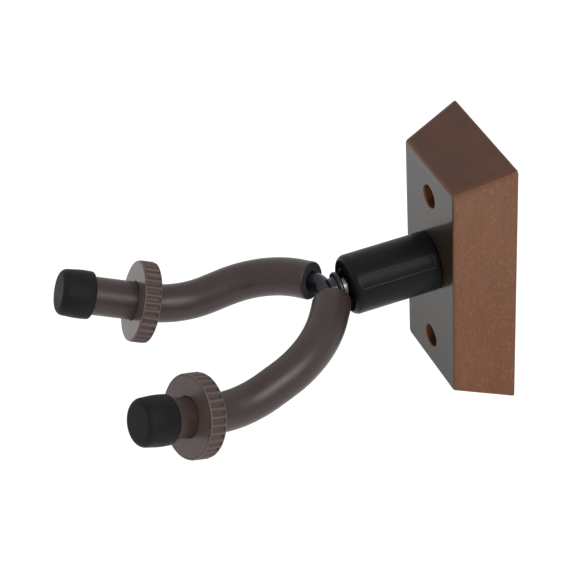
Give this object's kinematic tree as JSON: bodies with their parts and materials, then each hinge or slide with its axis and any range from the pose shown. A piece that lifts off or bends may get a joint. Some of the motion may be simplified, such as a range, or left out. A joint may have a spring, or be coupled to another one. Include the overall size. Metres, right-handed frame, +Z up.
{
  "type": "wall guitar hanger",
  "caption": "Wall cradle for a stringed instrument: a bevelled wood block carries a swivelling steel yoke with rubber-sleeved arms, fluted grip discs and end caps that hold the neck.",
  "frame": {"origin": "centre of the wood block's back face, on the wall plane", "axes": "+Y into the wall, square to it; the yoke points along -Y; +Z up; +X to the right as seen facing the wall"},
  "size_m": [0.112, 0.1751, 0.1184],
  "materials": {
    "stained_wood": "dark walnut stain under clear satin lacquer",
    "black_housing": "black satin paint",
    "zinc_plate": "bright zinc plate",
    "bush_polymer": "moulded acetal",
    "black_steel": "blue-black steel",
    "sleeve_rubber": "brown-grey satin rubber",
    "disc_rubber": "brown moulded rubber",
    "cap_rubber": "black matt rubber"
  },
  "bodies": {
    "wall_mount": {"wood_block": "stained_wood", "pivot_housing": "black_housing", "housing_washer": "zinc_plate", "housing_nut": "zinc_plate", "front_bushing": "bush_polymer", "rear_bushing": "bush_polymer", "housing_lock_washer": "zinc_plate"},
    "yoke": {"yoke_hub": "black_steel", "swivel_stem": "zinc_plate", "stem_washer": "zinc_plate", "front_disc_spring": "zinc_plate", "rear_disc_spring": "zinc_plate", "stem_nut": "zinc_plate", "yoke_rod": "black_steel", "tube_left": "sleeve_rubber", "tube_right": "sleeve_rubber", "end_cap_left": "cap_rubber", "end_cap_right": "cap_rubber"},
    "left_disc": {"grip_disc_left": "disc_rubber"},
    "right_disc": {"grip_disc_right": "disc_rubber"}
  },
  "joints": [
    {"name": "yoke_swivel", "type": "hinge", "parent": "wall_mount", "child": "yoke", "pos_m": [0, -0.0726, 0.0041], "axis": [0, -1, 0], "continuous": true},
    {"name": "left_disc_turn", "type": "hinge", "parent": "yoke", "child": "left_disc", "pos_m": [-0.03831, -0.13962, -0.00473], "axis": [-0.1664, -0.9155, 0.3662], "continuous": true},
    {"name": "right_disc_turn", "type": "hinge", "parent": "yoke", "child": "right_disc", "pos_m": [0.03931, -0.14512, -0.00253], "axis": [0.1664, -0.9155, 0.3662], "continuous": true}
  ]
}
